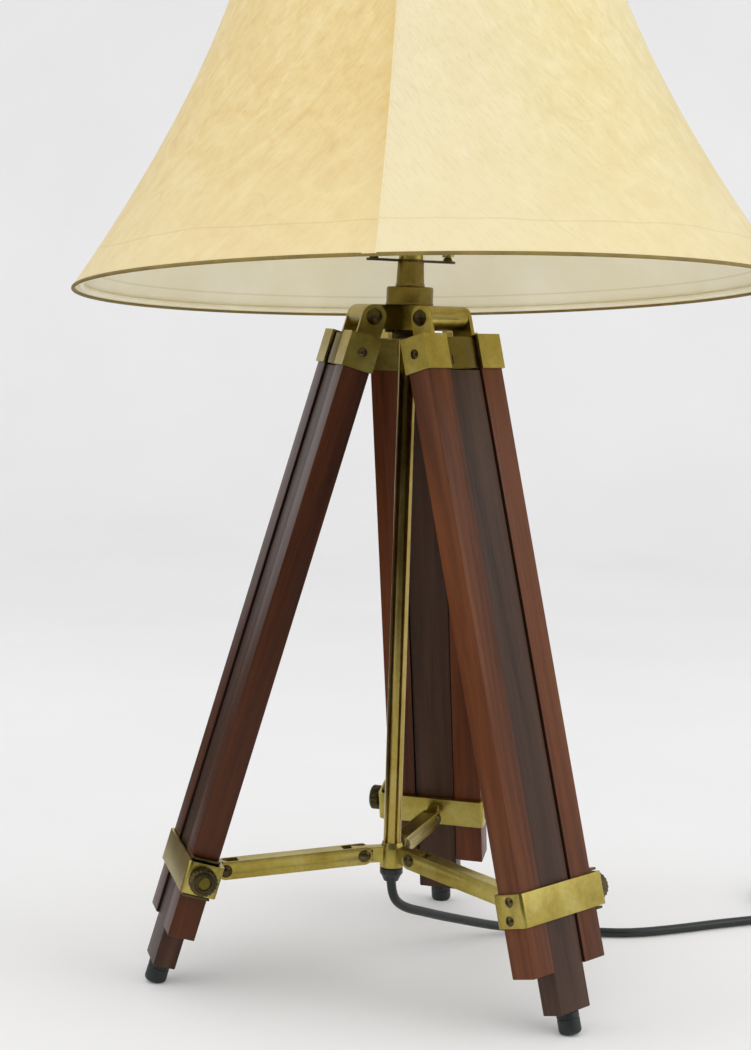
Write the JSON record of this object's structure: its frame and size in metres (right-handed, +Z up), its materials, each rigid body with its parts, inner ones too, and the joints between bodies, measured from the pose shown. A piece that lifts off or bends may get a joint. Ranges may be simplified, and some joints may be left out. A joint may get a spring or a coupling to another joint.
{
  "type": "tripod table lamp",
  "caption": "Table lamp on a folding wooden tripod with brass fittings, sliding leg ends, a harp and a wide flared shade.",
  "frame": {"origin": "on the surface that the feet stand on, in line with the centre tube", "axes": "+Z up along the centre tube, +X to the right of the pictured view, +Y away from the viewer"},
  "size_m": [0.6493, 0.4649, 0.7232],
  "materials": {
    "rail_wood": "satin, red-brown",
    "centre_wood": "matte, dark brown",
    "brass": "antiqued, satin",
    "dark_brass": "bronzed, satin",
    "polished_brass": "polished",
    "black_rubber": "matte",
    "black_plastic": "matte",
    "liner_card": "matte card",
    "plated_steel": "plated",
    "bulb_glass": "frosted",
    "parchment": "mottled parchment paper",
    "cream_lining": "smooth cream",
    "rim_trim": "rolled binding",
    "cord_sheath": "satin, dark grey",
    "blade_brass": "plain"
  },
  "bodies": {
    "stand": {"hub": "brass", "hub_washer": "dark_brass", "hub_nut": "dark_brass", "centre_tube": "polished_brass", "cord_gland": "black_plastic", "cup": "brass", "neck": "brass", "nipple": "dark_brass", "harp_saddle": "dark_brass", "harp": "polished_brass", "harp_sleeves": "polished_brass", "socket_cap": "brass", "socket_shell": "brass", "socket_liner": "liner_card", "socket_contact": "dark_brass", "cord_lead": "cord_sheath", "cord_coil": "cord_sheath", "cord_tie": "black_plastic", "plug_body": "cord_sheath", "plug_blades": "blade_brass"},
    "collar": {"collar": "brass"},
    "switch": {"switch_knob": "black_plastic"},
    "bulb": {"bulb_base": "plated_steel", "bulb_glass": "bulb_glass"},
    "shade": {"shade_frame": "polished_brass", "shade_ring": "polished_brass", "shade_cover": "parchment", "shade_lining": "cream_lining", "shade_rims": "rim_trim"},
    "finial": {"finial": "polished_brass"},
    "leg_1": {"leg_1_rails": "rail_wood", "leg_1_head": "brass", "leg_1_band": "brass", "leg_1_plate": "dark_brass", "leg_1_screws": "dark_brass"},
    "leg_1_slider": {"leg_1_centre": "centre_wood", "leg_1_foot": "black_rubber"},
    "leg_1_clamp": {"leg_1_knob": "dark_brass"},
    "brace_1": {"brace_1": "brass", "brace_1_pins": "dark_brass"},
    "leg_2": {"leg_2_rails": "rail_wood", "leg_2_head": "brass", "leg_2_band": "brass", "leg_2_plate": "dark_brass", "leg_2_screws": "dark_brass"},
    "leg_2_slider": {"leg_2_centre": "centre_wood", "leg_2_foot": "black_rubber"},
    "leg_2_clamp": {"leg_2_knob": "dark_brass"},
    "brace_2": {"brace_2": "brass", "brace_2_pins": "dark_brass"},
    "leg_3": {"leg_3_rails": "rail_wood", "leg_3_head": "brass", "leg_3_band": "brass", "leg_3_plate": "dark_brass", "leg_3_screws": "dark_brass"},
    "leg_3_slider": {"leg_3_centre": "centre_wood", "leg_3_foot": "black_rubber"},
    "leg_3_clamp": {"leg_3_knob": "dark_brass"},
    "brace_3": {"brace_3": "brass", "brace_3_pins": "dark_brass"}
  },
  "joints": [
    {"name": "leg_1_fold", "type": "hinge", "parent": "stand", "child": "leg_1", "pos_m": [0.02086, -0.02015, 0.44009], "axis": [0.6947, 0.7193, 0], "range_deg": [0, 4]},
    {"name": "leg_1_slide", "type": "slide", "parent": "leg_1", "child": "leg_1_slider", "axis": [0.1983, -0.1915, -0.9613], "range_m": [0, 0.2]},
    {"name": "leg_1_knob_turn", "type": "hinge", "parent": "leg_1", "child": "leg_1_clamp", "pos_m": [0.09871, -0.09533, 0.08007], "axis": [-0.6947, -0.7193, 0], "range_deg": [0, 360]},
    {"name": "brace_1_fold", "type": "hinge", "parent": "leg_1", "child": "brace_1", "pos_m": [0.0826, -0.07977, 0.07365], "axis": [0.6947, 0.7193, 0], "range_deg": [0, 39.65]},
    {"name": "leg_2_fold", "type": "hinge", "parent": "stand", "child": "leg_2", "pos_m": [0.00702, 0.02814, 0.44009], "axis": [-0.9703, 0.2419, 0], "range_deg": [0, 4]},
    {"name": "leg_2_slide", "type": "slide", "parent": "leg_2", "child": "leg_2_slider", "axis": [0.0667, 0.2674, -0.9613], "range_m": [0, 0.2]},
    {"name": "leg_2_knob_turn", "type": "hinge", "parent": "leg_2", "child": "leg_2_clamp", "pos_m": [0.0332, 0.13315, 0.08007], "axis": [0.9703, -0.2419, 0], "range_deg": [0, 360]},
    {"name": "brace_2_fold", "type": "hinge", "parent": "leg_2", "child": "brace_2", "pos_m": [0.02778, 0.11142, 0.07365], "axis": [-0.9703, 0.2419, 0], "range_deg": [0, 39.65]},
    {"name": "leg_3_fold", "type": "hinge", "parent": "stand", "child": "leg_3", "pos_m": [-0.02788, -0.00799, 0.44009], "axis": [0.2756, -0.9613, 0], "range_deg": [0, 4]},
    {"name": "leg_3_slide", "type": "slide", "parent": "leg_3", "child": "leg_3_slider", "axis": [-0.265, -0.076, -0.9613], "range_m": [0, 0.2]},
    {"name": "leg_3_knob_turn", "type": "hinge", "parent": "leg_3", "child": "leg_3_clamp", "pos_m": [-0.13191, -0.03782, 0.08007], "axis": [-0.2756, 0.9613, 0], "range_deg": [0, 360]},
    {"name": "brace_3_fold", "type": "hinge", "parent": "leg_3", "child": "brace_3", "pos_m": [-0.11038, -0.03165, 0.07365], "axis": [0.2756, -0.9613, 0], "range_deg": [0, 39.65]},
    {"name": "collar_rise", "type": "slide", "parent": "stand", "child": "collar", "axis": [0, 0, 1], "range_m": [0, 0.06024]},
    {"name": "switch_turn", "type": "hinge", "parent": "stand", "child": "switch", "pos_m": [0.00043, 0, 0.51669], "axis": [-0.2588, 0.9659, 0.0027], "continuous": true},
    {"name": "bulb_turn", "type": "hinge", "parent": "stand", "child": "bulb", "pos_m": [0.00063, 0, 0.53608], "axis": [0.0105, 0, 0.9999], "continuous": true},
    {"name": "shade_turn", "type": "hinge", "parent": "stand", "child": "shade", "pos_m": [0.0023, 0, 0.69608], "axis": [-0.0406, 0.0732, 0.9965], "continuous": true},
    {"name": "finial_turn", "type": "hinge", "parent": "stand", "child": "finial", "pos_m": [0.0021, 0.00037, 0.70106], "axis": [-0.0406, 0.0732, 0.9965], "continuous": true}
  ],
  "couplings": [
    {"joint": "brace_1_fold", "follows": "leg_1_fold", "ratio": 9.9},
    {"joint": "leg_2_fold", "follows": "leg_1_fold", "ratio": 1},
    {"joint": "brace_2_fold", "follows": "leg_1_fold", "ratio": 9.9},
    {"joint": "leg_3_fold", "follows": "leg_1_fold", "ratio": 1},
    {"joint": "brace_3_fold", "follows": "leg_1_fold", "ratio": 9.9},
    {"joint": "collar_rise", "follows": "leg_1_fold", "m_per_rad": 0.86}
  ]
}
